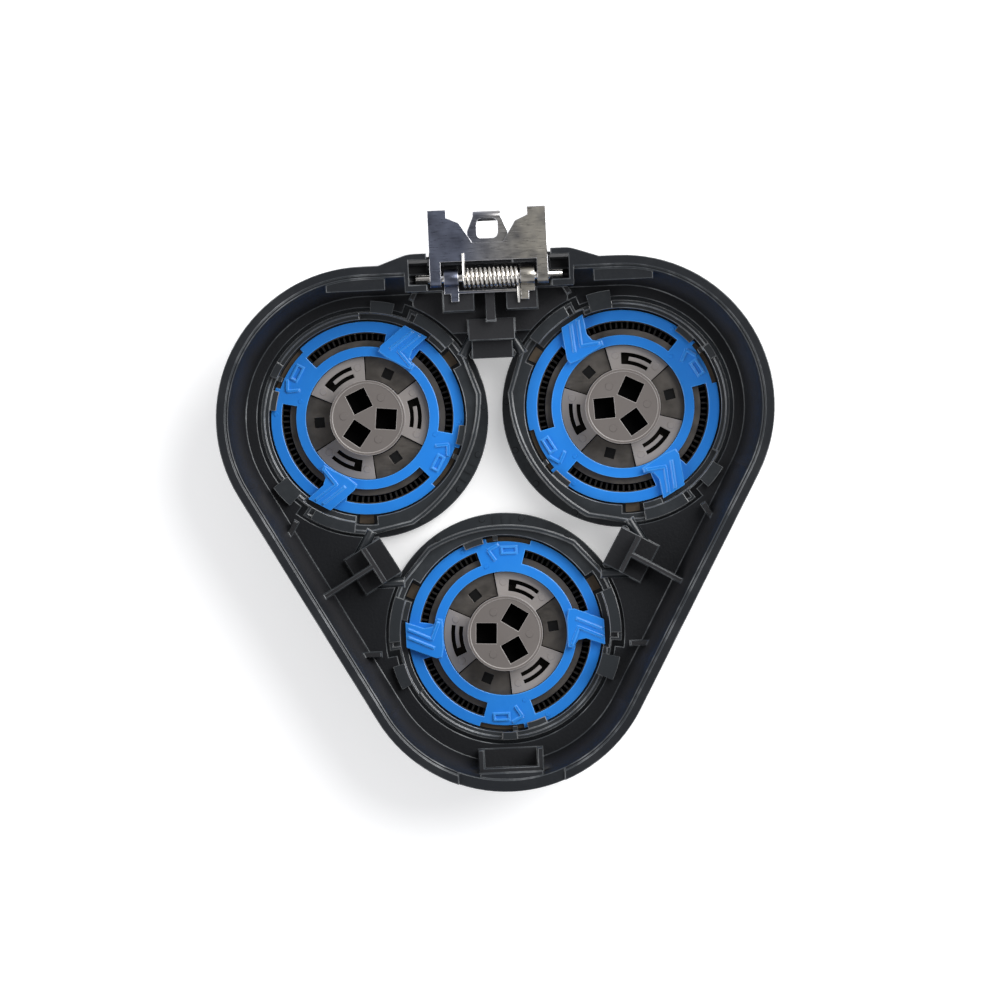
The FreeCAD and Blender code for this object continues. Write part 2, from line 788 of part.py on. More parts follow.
def hinge_plate():
    reach = pin_y + plate_reach
    right = [(0, pin_y + window_reach), (plate_leg_inner_x, pin_y + window_reach)]
    right += [(plate_leg_inner_x, pin_y), (plate_half_width, pin_y), (plate_half_width, reach)]
    right += [(hook_half_width, reach), (hook_half_width, pin_y + hook_corner_reach)]
    right += [(shoulder_half_width, pin_y + shoulder_reach), (notch_half_width, pin_y + notch_reach)]
    left = [(-x, y) for x, y in reversed(right) if x > 0]
    body = plate_of(right + left, plate_under_z, plate_over_z)
    lip_x = (hook_half_width, plate_half_width)
    lips = mirrored_blocks(*lip_x, reach - sheet, reach, plate_over_z - hook_lip, plate_over_z)
    knuckles = pair(knuckle(plate_leg_inner_x, plate_half_width))
    return body.cut(pin_hole()).fuse(lips + knuckles).removeSplitter()


def latch_tongue():
    top = plate_under_z
    low = top - sheet
    y0 = pin_y + latch_from
    y1 = pin_y + latch_reach
    neck = pin_y + latch_window_from
    right = [(latch_half_width * 0.75, y0), (latch_half_width, neck - 0.4), (latch_half_width, neck + 0.8)]
    right += [(latch_tip_half_width, y1 - latch_curl_r)]
    left = [(-x, y) for x, y in reversed(right)]
    body = plate_of(right + left, low, top)
    window = block(-latch_window_half, latch_window_half, neck, pin_y + latch_window_to, low - 1, top + 1)
    upright = [edge for edge in window.Edges if edge.BoundBox.ZLength > sheet]
    window = window.makeFillet(min(latch_window_round, latch_window_half / 2), upright)
    curl = Part.makeCylinder(latch_curl_r, 2 * latch_tip_half_width,
                             up(-latch_tip_half_width, y1 - latch_curl_r, top - latch_curl_r), up(1, 0, 0))
    return body.cut(window).fuse([curl]).removeSplitter()


def hinge_pin():
    return Part.makeCylinder(pin_r, 2 * pin_half_length, up(-pin_half_length, pin_y, pin_z), up(1, 0, 0))


def hinge_bracket():
    top = bracket_under_z + sheet
    parts = pair(knuckle(bracket_inner_x, bracket_outer_x))
    legs = mirrored_blocks(bracket_inner_x, bracket_outer_x, bracket_bar_y, pin_y, bracket_under_z, top)
    legs = [leg.cut(pin_hole()) for leg in legs]
    bar = block(-bracket_outer_x, bracket_outer_x, bracket_bar_y, bracket_bar_y + bracket_bar_width,
                bracket_under_z, top)
    feet = mirrored_blocks(bracket_inner_x, bracket_inner_x + bracket_foot, bracket_bar_y - bracket_foot,
                           bracket_bar_y + 0.1, bracket_under_z, top)
    return joined(bar, parts + legs + feet)


def wire_section(centre, along, side):
    """Outline of the wire, square to its run."""
    across = along.cross(side)
    points = []
    for index in range(wire_sides):
        angle = 2 * math.pi * index / wire_sides
        points.append(centre + side * (wire_r * math.cos(angle)) + across * (wire_r * math.sin(angle)))
    return Part.makePolygon(points + [points[0]])


def wire_body(path):
    """Wire along a path of points. Each outline keeps the turn of the one before it."""
    runs = [(after - before).normalize() for before, after in zip(path, path[1:])]
    side = up(1, 0, 0)
    sections = []
    for index, centre in enumerate(path):
        along = (runs[max(index - 1, 0)] + runs[min(index, len(runs) - 1)]).normalize()
        side = (side - along * side.dot(along)).normalize()
        sections.append(wire_section(centre, along, side))
    return Part.makeLoft(sections, True, True)


def torsion_spring():
    """Close-wound coil on the pin, with one leg on the plate and one down to the seat."""
    rest_z = plate_over_z + wire_r + rest_gap
    path = [up(spring_start_x, pin_y + plate_leg_reach, rest_z)]
    path.append(up(spring_start_x, pin_y + window_reach - wire_r, rest_z))
    path.append(up(spring_start_x, pin_y + leg_stub, pin_z + coil_r))
    for step in range(round(spring_turns * turn_steps) + 1):
        turn = 2 * math.pi * step / turn_steps
        x = spring_start_x + spring_pitch * step / turn_steps
        path.append(up(x, pin_y - coil_r * math.sin(turn), pin_z + coil_r * math.cos(turn)))
    end = path[-1]
    bar_z = bracket_under_z + sheet + wire_r + clip_room
    foot_z = bracket_under_z - clip_room + wire_r + rest_gap
    path.append(up(end.x, end.y, end.z - leg_stub / 2))
    path.append(up(end.x, end.y - leg_stub / 2, bar_z))
    path.append(up(end.x, bracket_bar_y - wire_r, bar_z))
    path.append(up(end.x, anchor_y, foot_z))
    return wire_body(path)


def main():
    os.makedirs("parts", exist_ok=True)
    nodes = {"head_shell": head_shell(), "hinge_pin": hinge_pin(), "hinge_bracket": hinge_bracket()}
    nodes["torsion_spring"] = torsion_spring()
    nodes["hinge_plate"] = hinge_plate()
    nodes["latch_tongue"] = latch_tongue()
    unit_parts = {"carrier": carrier(), "guard_cap": guard_cap(), "cap_insert": cap_insert()}
    unit_parts["retaining_ring"] = retaining_ring()
    cutter_parts = {"blade_ring": blade_ring(), "coupling": coupling()}
    for unit, turn in unit_turns.items():
        for name, shape in unit_parts.items():
            nodes[name + "_" + unit] = at_unit(shape, turn)
        for name, shape in cutter_parts.items():
            nodes[name + "_" + unit] = at_unit(turned(shape, spin_phases[unit]), turn)
    for name, shape in nodes.items():
        shape = shape.copy()
        shape.translate(up(0, head_y, 0))
        shape.exportStep("parts/" + name + ".step")
        print(name, len(shape.Solids), shape.isValid(), round(shape.Volume, 2))


main()
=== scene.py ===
# %% [markdown]
# # Dressing a rotary shaver head
# The construction of the head comes packed as a fixed frame: every moulded, stamped and turned
# part is already there at its real size. This lesson gives the parts their finish: soft moulded
# edges, textured black plastic, satin blue rings, ground steel, and the finest details.

import json
import math

import bmesh
import bpy
from mathutils import Matrix, Vector


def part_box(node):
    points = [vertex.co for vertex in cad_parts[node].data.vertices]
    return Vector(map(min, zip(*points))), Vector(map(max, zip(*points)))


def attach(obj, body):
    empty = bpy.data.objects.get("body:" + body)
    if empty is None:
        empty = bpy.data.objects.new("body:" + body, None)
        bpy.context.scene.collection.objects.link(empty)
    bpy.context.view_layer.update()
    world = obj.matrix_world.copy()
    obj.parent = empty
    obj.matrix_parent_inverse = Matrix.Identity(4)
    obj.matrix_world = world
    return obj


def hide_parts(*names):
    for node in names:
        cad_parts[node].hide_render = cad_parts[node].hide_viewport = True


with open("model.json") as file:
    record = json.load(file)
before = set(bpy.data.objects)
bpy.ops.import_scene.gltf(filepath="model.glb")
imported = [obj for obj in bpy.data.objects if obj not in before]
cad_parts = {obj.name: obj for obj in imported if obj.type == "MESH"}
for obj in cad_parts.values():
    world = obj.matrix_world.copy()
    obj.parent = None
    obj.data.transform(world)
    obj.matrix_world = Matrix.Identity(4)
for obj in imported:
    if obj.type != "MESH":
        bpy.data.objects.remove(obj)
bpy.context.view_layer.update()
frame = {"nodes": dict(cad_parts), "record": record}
nodes = frame["nodes"]
MM = 0.001
units = ["left", "right", "front"]

# %% [markdown]
# The camera hangs straight above the open side, as in the picture, and is rolled a little, so
# that the head stands slightly turned in the frame. The middle of the picture falls a little
# below the middle of the three units. The lens follows from the height: one millimetre at the
# rim has to fill nine pixels.

# %% Place the camera
picture_px = 990
px_per_mm = 9.0
rim_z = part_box("head_shell")[1].z
camera_height = 1500 * MM
roll = math.radians(-2.6)
pin_to_middle = 22.8 * MM
head_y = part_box("hinge_pin")[0].y - pin_to_middle
picture_offset = Vector((-0.45, -1.0, 0)) * MM
picture_middle = Vector((0, head_y, 0)) + picture_offset

camera_data = bpy.data.cameras.new("overhead_camera")
camera_data.sensor_width = 36
view_width = picture_px / px_per_mm * MM
camera_data.lens = camera_data.sensor_width * (camera_height - rim_z) / view_width
camera_data.clip_start = 0.01
camera_data.clip_end = 10
camera = bpy.data.objects.new("overhead_camera", camera_data)
camera.location = picture_middle + Vector((0, 0, camera_height))
camera.rotation_euler = (0, 0, roll)
bpy.context.scene.collection.objects.link(camera)
bpy.context.scene.camera = camera
print("lens mm", round(camera_data.lens, 1))

# %% [markdown]
# The head lies on a white table under a broad soft light. The table is a plain pale sheet that
# the camera sees as white, while it still takes the object's soft shadow.

# %% Light and table
def area_light(name, place, size, power):
    """Round soft lamp that points at the middle of the scene."""
    lamp = bpy.data.lights.new(name, "AREA")
    lamp.shape = "DISK"
    lamp.size = size
    lamp.energy = power
    item = bpy.data.objects.new(name, lamp)
    item.location = place
    direction = -Vector(place)
    item.rotation_euler = direction.to_track_quat("-Z", "Y").to_euler()
    bpy.context.scene.collection.objects.link(item)
    print(name, "m across", size, "watts", power)


area_light("key_lamp", place=(0.34, 0.25, 0.44), size=0.52, power=3.7)
area_light("fill_lamp", place=(-0.42, -0.10, 0.30), size=0.40, power=1.1)


def studio_world():
    """Pale room, darker straight overhead, so that flat tops stay dark and edges shine."""
    world = bpy.data.worlds.new("studio")
    world.use_nodes = True
    tree = world.node_tree
    background = tree.nodes["Background"]
    background.inputs["Color"].default_value = (0.95, 0.96, 1.0, 1)
    place = tree.nodes.new("ShaderNodeTexCoord")
    split = tree.nodes.new("ShaderNodeSeparateXYZ")
    tree.links.new(place.outputs["Generated"], split.inputs[0])
    level = tree.nodes.new("ShaderNodeMapRange")
    level.inputs["From Min"].default_value = 0.6
    level.inputs["From Max"].default_value = 0.92
    level.inputs["To Min"].default_value = 0.62
    level.inputs["To Max"].default_value = 0.2
    tree.links.new(split.outputs["Z"], level.inputs["Value"])
    tree.links.new(level.outputs["Result"], background.inputs["Strength"])
    bpy.context.scene.world = world


studio_world()
bpy.context.scene.view_settings.view_transform = "Standard"

table_half_width = 1.5
table_z = -0.02 * MM
table_data = bpy.data.meshes.new("table_top")
sheet = bmesh.new()
bmesh.ops.create_grid(sheet, x_segments=1, y_segments=1, size=table_half_width,
                      matrix=Matrix.Translation((0, 0, table_z)))
sheet.to_mesh(table_data)
sheet.free()
table_top = bpy.data.objects.new("table_top", table_data)
bpy.context.scene.collection.objects.link(table_top)
print("table m wide", 2 * table_half_width)

# %% [markdown]
# Small helpers keep the shader code short. One adds a node with its values, one starts a
# material, and one gives a node group a socket. The colour sockets of a Mix node share their
# names with its other sockets, so they go by number.

# %% Shader helpers
mix_first, mix_second, mix_result = 6, 7, 2


def add_node(tree, kind, **values):
    node = tree.nodes.new(kind)
    for key, value in values.items():
        setattr(node, key, value)
    return node


def new_material(name, base, roughness, metallic=0.0, specular=0.5):
    material = bpy.data.materials.new(name)
    material.use_nodes = True
    shader = material.node_tree.nodes["Principled BSDF"]
    shader.inputs["Base Color"].default_value = (*base, 1)
    shader.inputs["Roughness"].default_value = roughness
    shader.inputs["Metallic"].default_value = metallic
    shader.inputs["Specular IOR Level"].default_value = specular
    return material, material.node_tree, shader


def group_socket(group, name, kind, default=None, output=False):
    direction = "OUTPUT" if output else "INPUT"
    socket = group.interface.new_socket(name, in_out=direction, socket_type=kind)
    if default is not None:
        socket.default_value = default


# %% [markdown]
# Little light gets down into deep places, so their shade is painted into the colour; on some
# parts a paler colour on low faces is painted light instead. Below one height a part takes a
# deep colour, above another it keeps its own. A material uses it once for each painted layer.

# %% Group: painted light and shade by depth
def painted_depth_light_and_shade_group():
    group = bpy.data.node_groups.new("painted_depth_light_and_shade", "ShaderNodeTree")
    group_socket(group, "Colour", "NodeSocketColor", (0.5, 0.5, 0.5, 1))
    group_socket(group, "Deep Colour", "NodeSocketColor", (0, 0, 0, 1))
    group_socket(group, "Deep Height", "NodeSocketFloat", 0.0)
    group_socket(group, "Own Colour Height", "NodeSocketFloat", 0.005)
    group_socket(group, "Colour", "NodeSocketColor", output=True)
    start = add_node(group, "NodeGroupInput")
    end = add_node(group, "NodeGroupOutput")
    place = add_node(group, "ShaderNodeTexCoord")
    split = add_node(group, "ShaderNodeSeparateXYZ")
    group.links.new(place.outputs["Object"], split.inputs[0])
    level = add_node(group, "ShaderNodeMapRange")
    group.links.new(split.outputs["Z"], level.inputs["Value"])
    group.links.new(start.outputs["Deep Height"], level.inputs["From Min"])
    group.links.new(start.outputs["Own Colour Height"], level.inputs["From Max"])
    mix = add_node(group, "ShaderNodeMix", data_type="RGBA")
    group.links.new(level.outputs["Result"], mix.inputs["Factor"])
    group.links.new(start.outputs["Deep Colour"], mix.inputs[mix_first])
    group.links.new(start.outputs["Colour"], mix.inputs[mix_second])
    group.links.new(mix.outputs[mix_result], end.inputs["Colour"])
    return group


painted_depth_light_and_shade = painted_depth_light_and_shade_group()
print(painted_depth_light_and_shade.name, "nodes", len(painted_depth_light_and_shade.nodes))


def add_shades(tree, colour, shades):
    """Run a colour through its painted light and shade layers: deep colour, deep height and own
    colour height in mm.
    """
    for deep_colour, deep_height, own_colour_height in shades:
        shade = add_node(tree, "ShaderNodeGroup", node_tree=painted_depth_light_and_shade)
        shade.inputs["Deep Colour"].default_value = (*deep_colour, 1)
        shade.inputs["Deep Height"].default_value = deep_height * MM
        shade.inputs["Own Colour Height"].default_value = own_colour_height * MM
        tree.links.new(colour, shade.inputs["Colour"])
        colour = shade.outputs["Colour"]
    return colour


# %% [markdown]
# Moulded plastic is never one even tone. Its skin has a fine spark-eroded grain, its colour
# wanders a little, and handling leaves paler rubs. One node group holds all three, so that every
# plastic part can use it with its own values.

# %% Group: moulded skin
def moulded_skin_group():
    group = bpy.data.node_groups.new("moulded_skin", "ShaderNodeTree")
    group_socket(group, "Colour", "NodeSocketColor", (0.5, 0.5, 0.5, 1))
    group_socket(group, "Rub Colour", "NodeSocketColor", (0.5, 0.5, 0.5, 1))
    group_socket(group, "Rub", "NodeSocketFloat", 0.2)
    group_socket(group, "Grain Scale", "NodeSocketFloat", 3000.0)
    group_socket(group, "Grain", "NodeSocketFloat", 0.2)
    group_socket(group, "Roughness", "NodeSocketFloat", 0.4)
    group_socket(group, "Colour", "NodeSocketColor", output=True)
    group_socket(group, "Roughness", "NodeSocketFloat", output=True)
    group_socket(group, "Height", "NodeSocketFloat", output=True)
    start = add_node(group, "NodeGroupInput")
    end = add_node(group, "NodeGroupOutput")
    place = add_node(group, "ShaderNodeTexCoord")
    cloud = add_node(group, "ShaderNodeTexNoise")
    cloud.inputs["Scale"].default_value = 160.0
    cloud.inputs["Detail"].default_value = 5.0
    cloud.inputs["Roughness"].default_value = 0.65
    group.links.new(place.outputs["Object"], cloud.inputs["Vector"])
    ramp = add_node(group, "ShaderNodeMapRange")
    ramp.inputs["From Min"].default_value = 0.5
    ramp.inputs["From Max"].default_value = 0.78
    group.links.new(cloud.outputs["Fac"], ramp.inputs["Value"])
    amount = add_node(group, "ShaderNodeMath", operation="MULTIPLY")
    group.links.new(ramp.outputs["Result"], amount.inputs[0])
    group.links.new(start.outputs["Rub"], amount.inputs[1])
    mix = add_node(group, "ShaderNodeMix", data_type="RGBA")
    group.links.new(amount.outputs[0], mix.inputs["Factor"])
    group.links.new(start.outputs["Colour"], mix.inputs[mix_first])
    group.links.new(start.outputs["Rub Colour"], mix.inputs[mix_second])
    group.links.new(mix.outputs[mix_result], end.inputs["Colour"])
    grain = add_node(group, "ShaderNodeTexNoise")
    grain.inputs["Detail"].default_value = 2.0
    group.links.new(place.outputs["Object"], grain.inputs["Vector"])
    group.links.new(start.outputs["Grain Scale"], grain.inputs["Scale"])
    height = add_node(group, "ShaderNodeMath", operation="MULTIPLY")
    group.links.new(grain.outputs["Fac"], height.inputs[0])
    group.links.new(start.outputs["Grain"], height.inputs[1])
    group.links.new(height.outputs[0], end.inputs["Height"])
    spread = add_node(group, "ShaderNodeMapRange")
    spread.inputs["To Min"].default_value = -0.09
    spread.inputs["To Max"].default_value = 0.09
    group.links.new(cloud.outputs["Fac"], spread.inputs["Value"])
    total = add_node(group, "ShaderNodeMath", operation="ADD")
    group.links.new(start.outputs["Roughness"], total.inputs[0])
    group.links.new(spread.outputs["Result"], total.inputs[1])
    group.links.new(total.outputs[0], end.inputs["Roughness"])
    return group


moulded_skin = moulded_skin_group()
print(moulded_skin.name, "nodes", len(moulded_skin.nodes))


def plastic(name, colour, rub_colour, rub, roughness, grain_scale, grain, specular=0.5,
            shades=()):
    """Moulded plastic with its own colour, rubs, gloss, grain and layers of painted light and
    shade.
    """
    material, tree, shader = new_material(name, colour, roughness, specular=specular)
    skin = add_node(tree, "ShaderNodeGroup", node_tree=moulded_skin)
    skin.inputs["Colour"].default_value = (*colour, 1)
    skin.inputs["Rub Colour"].default_value = (*rub_colour, 1)
    skin.inputs["Rub"].default_value = rub
    skin.inputs["Grain Scale"].default_value = grain_scale
    skin.inputs["Grain"].default_value = grain
    skin.inputs["Roughness"].default_value = roughness
    bump = add_node(tree, "ShaderNodeBump")
    bump.inputs["Strength"].default_value = 0.5
    bump.inputs["Distance"].default_value = 0.05 * MM
    shaded = add_shades(tree, skin.outputs["Colour"], shades)
    tree.links.new(shaded, shader.inputs["Base Color"])
    tree.links.new(skin.outputs["Roughness"], shader.inputs["Roughness"])
    tree.links.new(skin.outputs["Height"], bump.inputs["Height"])
    tree.links.new(bump.outputs["Normal"], shader.inputs["Normal"])
    return material


# %% [markdown]
# The shell is a matt black; painted light makes its low walls paler and painted shade makes its
# floor nearly black. The units' frames are a glossier black, the rings satin blue, and the hubs a
# warm grey with painted light that makes the low pads paler and painted shade that makes them black
# below the pads. Each has a paler twin on its edges, a painted highlight. The plates of painted
# shade and the inside of the caps' inserts are nearly black.

# %% Plastics of the head
# Painted light makes the shell's low walls paler; painted shade makes them nearly black towards the
# floor.
shell_painted_light_and_shade = [((0.024, 0.024, 0.026), 9.5, 12.6), ((0.0075, 0.0085, 0.0105), 5.0, 8.5)]
shell_black = plastic("shell_black", (0.0125, 0.0142, 0.017), (0.034, 0.036, 0.039),
                      0.4, 0.42, 3500, 0.8, 0.2, shell_painted_light_and_shade)
# Paler twin of the shell black, a painted highlight on its bevelled edges.
shell_painted_highlight = plastic("shell_painted_highlight", (0.045, 0.05, 0.055), (0.30, 0.31, 0.32),
                     0.9, 0.3, 3500, 0.3, 0.4)
frame_black = plastic("frame_black", (0.021, 0.0245, 0.028), (0.06, 0.066, 0.072),
                      0.4, 0.24, 1400, 0.35, 0.55)
# Paler twin of the frame black, a painted highlight on its bevelled edges.
frame_painted_highlight = plastic("frame_painted_highlight", (0.10, 0.105, 0.11), (0.42, 0.44, 0.45),
                     0.9, 0.2, 2200, 0.2, 0.6)
ring_blue = plastic("ring_blue", (0.010, 0.20, 0.68), (0.022, 0.27, 0.78),
                    0.35, 0.34, 2500, 0.25, 0.4)
# Paler twin of the ring blue, a painted highlight on its bevelled edges.
ring_painted_highlight = plastic("ring_painted_highlight", (0.045, 0.30, 0.82), (0.09, 0.40, 0.88),
                    0.5, 0.28, 2500, 0.2, 0.5)
# Painted light makes the hub's low pads paler than its top, and painted shade makes it black below
# the pads.
hub_painted_light_and_shade = [((0.31, 0.285, 0.27), 2.4, 5.4), ((0.004, 0.004, 0.004), 1.8, 2.3)]
hub_grey = plastic("hub_grey", (0.145, 0.13, 0.122), (0.20, 0.182, 0.172),
                   0.35, 0.36, 2600, 0.3, 0.25, hub_painted_light_and_shade)
# Paler twin of the hub grey, a painted highlight on its bevelled edges.
hub_painted_highlight = plastic("hub_painted_highlight", (0.34, 0.315, 0.30), (0.50, 0.47, 0.45),
                   0.5, 0.3, 2600, 0.2, 0.5, hub_painted_light_and_shade)
insert_layers = [((0.2, 0.2, 0.21), 0.12, 0.14)]
insert_grey = plastic("insert_grey", (0.008, 0.008, 0.009), (0.01, 0.01, 0.011),
                      0.3, 0.35, 2600, 0.2, 0.3, insert_layers)
# Near black for the plates of painted shade in the sockets, the blade ring's holes and under the
# fins.
painted_shade_black = plastic("painted_shade_black", (0.002, 0.002, 0.002), (0.005, 0.005, 0.005),
                       0.3, 0.5, 2600, 0.2, 0.05)
print("materials", len(bpy.data.materials))

# %% [markdown]
# Stamped steel shows long fine scratches and patches that reflect a little differently. The
# scratches are a noise pattern pulled out along one direction.

# %% Group: ground steel
def ground_steel_group():
    group = bpy.data.node_groups.new("ground_steel", "ShaderNodeTree")
    group_socket(group, "Colour", "NodeSocketColor", (0.5, 0.5, 0.5, 1))
    group_socket(group, "Stain Colour", "NodeSocketColor", (0.3, 0.25, 0.2, 1))
    group_socket(group, "Stain", "NodeSocketFloat", 0.3)
    group_socket(group, "Roughness", "NodeSocketFloat", 0.3)
    group_socket(group, "Colour", "NodeSocketColor", output=True)
    group_socket(group, "Roughness", "NodeSocketFloat", output=True)
    group_socket(group, "Height", "NodeSocketFloat", output=True)
    start = add_node(group, "NodeGroupInput")
    end = add_node(group, "NodeGroupOutput")
    place = add_node(group, "ShaderNodeTexCoord")
    stretch = add_node(group, "ShaderNodeMapping")
    stretch.inputs["Scale"].default_value = (900, 9000, 900)
    stretch.inputs["Rotation"].default_value = (0, 0, 0.5)
    group.links.new(place.outputs["Object"], stretch.inputs["Vector"])
    lines = add_node(group, "ShaderNodeTexNoise")
    lines.inputs["Scale"].default_value = 1.0
    lines.inputs["Detail"].default_value = 4.0
    group.links.new(stretch.outputs["Vector"], lines.inputs["Vector"])
    cloud = add_node(group, "ShaderNodeTexNoise")
    cloud.inputs["Scale"].default_value = 420.0
    cloud.inputs["Detail"].default_value = 4.0
    group.links.new(place.outputs["Object"], cloud.inputs["Vector"])
    patch = add_node(group, "ShaderNodeMapRange")
    patch.inputs["From Min"].default_value = 0.42
    patch.inputs["From Max"].default_value = 0.75
    group.links.new(cloud.outputs["Fac"], patch.inputs["Value"])
    amount = add_node(group, "ShaderNodeMath", operation="MULTIPLY")
    group.links.new(patch.outputs["Result"], amount.inputs[0])
    group.links.new(start.outputs["Stain"], amount.inputs[1])
    mix = add_node(group, "ShaderNodeMix", data_type="RGBA")
    group.links.new(amount.outputs[0], mix.inputs["Factor"])
    group.links.new(start.outputs["Colour"], mix.inputs[mix_first])
    group.links.new(start.outputs["Stain Colour"], mix.inputs[mix_second])
    group.links.new(mix.outputs[mix_result], end.inputs["Colour"])
    spread = add_node(group, "ShaderNodeMapRange")
    spread.inputs["To Min"].default_value = -0.15
    spread.inputs["To Max"].default_value = 0.2
    group.links.new(lines.outputs["Fac"], spread.inputs["Value"])
    total = add_node(group, "ShaderNodeMath", operation="ADD")
    group.links.new(start.outputs["Roughness"], total.inputs[0])
    group.links.new(spread.outputs["Result"], total.inputs[1])
    group.links.new(total.outputs[0], end.inputs["Roughness"])
    group.links.new(lines.outputs["Fac"], end.inputs["Height"])
    return group


ground_steel = ground_steel_group()
print(ground_steel.name, "nodes", len(ground_steel.nodes))


def painted_reflection_across(tree, left_colour, right_colour):
    """Colour that changes along X, a painted reflection: one end of the plate cool, the other warm.
    """
    place = add_node(tree, "ShaderNodeTexCoord")
    split = add_node(tree, "ShaderNodeSeparateXYZ")
    tree.links.new(place.outputs["Object"], split.inputs[0])
    across = add_node(tree, "ShaderNodeMapRange")
    across.inputs["From Min"].default_value = -3 * MM
    across.inputs["From Max"].default_value = 4 * MM
    tree.links.new(split.outputs["X"], across.inputs["Value"])
    mix = add_node(tree, "ShaderNodeMix", data_type="RGBA")
    tree.links.new(across.outputs["Result"], mix.inputs["Factor"])
    mix.inputs[mix_first].default_value = (*left_colour, 1)
    mix.inputs[mix_second].default_value = (*right_colour, 1)
    return mix.outputs[mix_result]


def steel(name, colour, stain_colour, stain, roughness, bump_strength, shades=(),
          right_colour=None):
    """Bare metal with its own colour, stains, gloss and layers of painted light and shade."""
    material, tree, shader = new_material(name, colour, roughness, metallic=1.0)
    skin = add_node(tree, "ShaderNodeGroup", node_tree=ground_steel)
    skin.inputs["Colour"].default_value = (*colour, 1)
    skin.inputs["Stain Colour"].default_value = (*stain_colour, 1)
    skin.inputs["Stain"].default_value = stain
    skin.inputs["Roughness"].default_value = roughness
    bump = add_node(tree, "ShaderNodeBump")
    bump.inputs["Strength"].default_value = bump_strength
    bump.inputs["Distance"].default_value = 0.01 * MM
    if right_colour is not None:
        tree.links.new(painted_reflection_across(tree, colour, right_colour), skin.inputs["Colour"])
    shaded = add_shades(tree, skin.outputs["Colour"], shades)
    tree.links.new(shaded, shader.inputs["Base Color"])
    tree.links.new(skin.outputs["Roughness"], shader.inputs["Roughness"])
    tree.links.new(skin.outputs["Height"], bump.inputs["Height"])
    tree.links.new(bump.outputs["Normal"], shader.inputs["Normal"])
    return material


# %% [markdown]
# The hinge's plate and bracket are sheet steel whose colour is a painted reflection: the dark,
# cool side of the room at one end and the bright, warm side at the other. Their cut edges and the
# spring are brighter. The blade rings and the insides of the guard caps turn nearly black below a
# height, which is painted shade, and the caps' shaving faces are bright.

# %% Steels of the head
# The plate's colour is a painted reflection: cool blue at its left end, warm at its right.
plate_steel = steel("plate_steel", (0.20, 0.22, 0.29), (0.07, 0.075, 0.1),
                    0.7, 0.3, 0.6, right_colour=(0.5, 0.47, 0.41))
plate_edge = steel("plate_edge", (0.7, 0.7, 0.72), (0.4, 0.4, 0.42), 0.5, 0.25, 0.3)
spring_steel = steel("spring_steel", (0.88, 0.85, 0.80), (0.45, 0.42, 0.37), 0.4, 0.16, 0.2)
# Painted shade: the blade ring turns nearly black below 1.5 mm.
blade_painted_shade = [((0.05, 0.046, 0.04), 1.5, 1.9)]
blade_steel = steel("blade_steel", (0.17, 0.155, 0.14), (0.05, 0.048, 0.045),
                    0.7, 0.36, 0.6, blade_painted_shade)
# Painted shade turns the inside of the cap nearly black; the bright shaving face at the bottom is
# the cap's own steel.
cap_painted_shade_and_face = [((0.02, 0.018, 0.016), 2.1, 2.3), ((0.5, 0.49, 0.47), 0.1, 0.2)]
cap_steel = steel("cap_steel", (0.17, 0.135, 0.10), (0.08, 0.06, 0.045),
                  0.6, 0.34, 0.4, cap_painted_shade_and_face)
print("materials", len(bpy.data.materials))

# %% [markdown]
# Every moulded or stamped part has slightly broken edges, which catch the light as thin bright
# lines. The frame's meshes are loose triangles, so a Weld modifier joins them first, and a Bevel
# modifier then rounds each sharp edge. Each kind of part has its finish, the finish of its bevelled
# edges, which on the plastics is a paler painted highlight, and the width of those edges in
# millimetres. The caps and the spring keep theirs sharp.

# %% Finish the frame's own parts
finishes = {
    "head_shell": (shell_black, shell_painted_highlight, 0.10),
    "hinge_pin": (spring_steel, spring_steel, 0.05),
    "hinge_bracket": (plate_steel, plate_edge, 0.05),
    "torsion_spring": (spring_steel, spring_steel, 0.0),
    "hinge_plate": (plate_steel, plate_edge, 0.05),
    "latch_tongue": (plate_steel, plate_edge, 0.06),
    "carrier": (frame_black, frame_painted_highlight, 0.08),
    "guard_cap": (cap_steel, cap_steel, 0.0),
    "cap_insert": (insert_grey, insert_grey, 0.08),
    "retaining_ring": (ring_blue, ring_painted_highlight, 0.08),
    "blade_ring": (blade_steel, blade_steel, 0.03),
    "coupling": (hub_grey, hub_painted_highlight, 0.05),
}


def soften_edges(item, width):
    """Round each sharp edge. The rounded strip takes the second material, on the plastics a paler
    painted highlight.
    """
    weld = item.modifiers.new("weld", "WELD")
    weld.merge_threshold = 0.002 * MM
    bevel = item.modifiers.new("bevel", "BEVEL")
    bevel.width = width * MM
    bevel.segments = 2
    bevel.limit_method = "ANGLE"
    bevel.angle_limit = math.radians(32)
    bevel.use_clamp_overlap = False
    bevel.material = 1


for name, item in nodes.items():
    family = name
    for unit in units:
        family = family.replace("_" + unit, "")
    finish, edge_finish, edge_width = finishes[family]
    item.data.materials.clear()
    item.data.materials.append(finish)
    if edge_width > 0:
        item.data.materials.append(edge_finish)
        soften_edges(item, edge_width)
print("finished parts", len(nodes))

# %% [markdown]
# Fine detail comes next. All of it repeats on the three units, so each piece is drawn once in a
# unit's own frame, where +Y points to the middle of the head, and is then carried to its place.
# The cutters were put in turned by different amounts, so each has its own angle in degrees.

# %% The units' own frames
joints = {joint["name"]: joint for joint in frame["record"]["behaviour"]["joints"]}
head_middle = Vector((0, head_y, 0))
cutter_phase = {"front": 57.0, "right": 63.0, "left": 114.0}


def unit_frame(unit):
    centre = Vector(joints["cutter_spin_" + unit]["pos_m"])
    centre.z = 0
    toward = head_middle - centre
    turn = math.atan2(toward.y, toward.x) - math.pi / 2
    return Matrix.Translation(centre) @ Matrix.Rotation(turn, 4, "Z")


unit_frames = {unit: unit_frame(unit) for unit in units}


